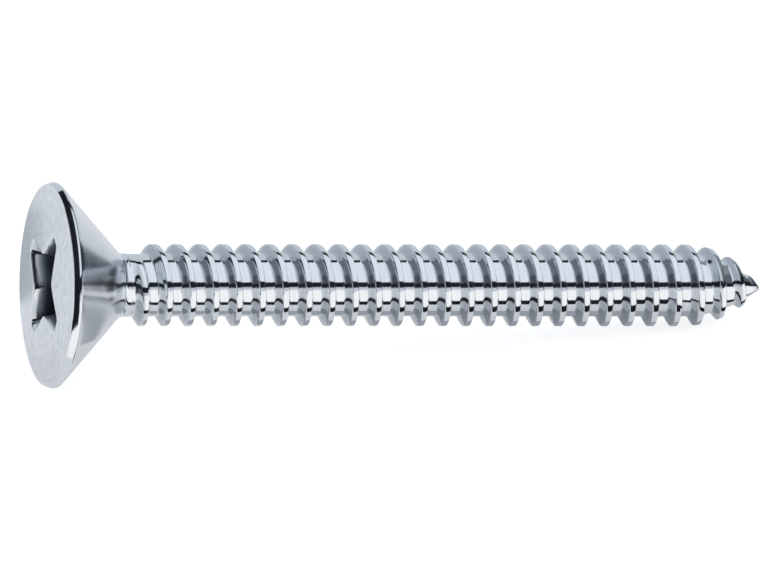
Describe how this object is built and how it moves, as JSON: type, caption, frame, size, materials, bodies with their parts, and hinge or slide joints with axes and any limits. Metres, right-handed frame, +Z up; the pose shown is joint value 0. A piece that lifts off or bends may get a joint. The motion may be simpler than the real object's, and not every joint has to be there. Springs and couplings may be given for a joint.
{
  "type": "countersunk self-tapping screw",
  "caption": "Self-tapping screw with a countersunk, slightly crowned head, a cross recess, a coarse thread up to the head and a gimlet point.",
  "frame": {"origin": "middle of the bounding box, on the surface that the screw lies on", "axes": "+X from the head to the point, +Z up; the screw's own axis leans about 5.3 degrees down towards the point"},
  "size_m": [0.0384, 0.0106, 0.0105],
  "materials": {
    "zinc_steel": "bright zinc, smooth, a little blue"
  },
  "bodies": {
    "root": {"screw": "zinc_steel"}
  },
  "joints": []
}
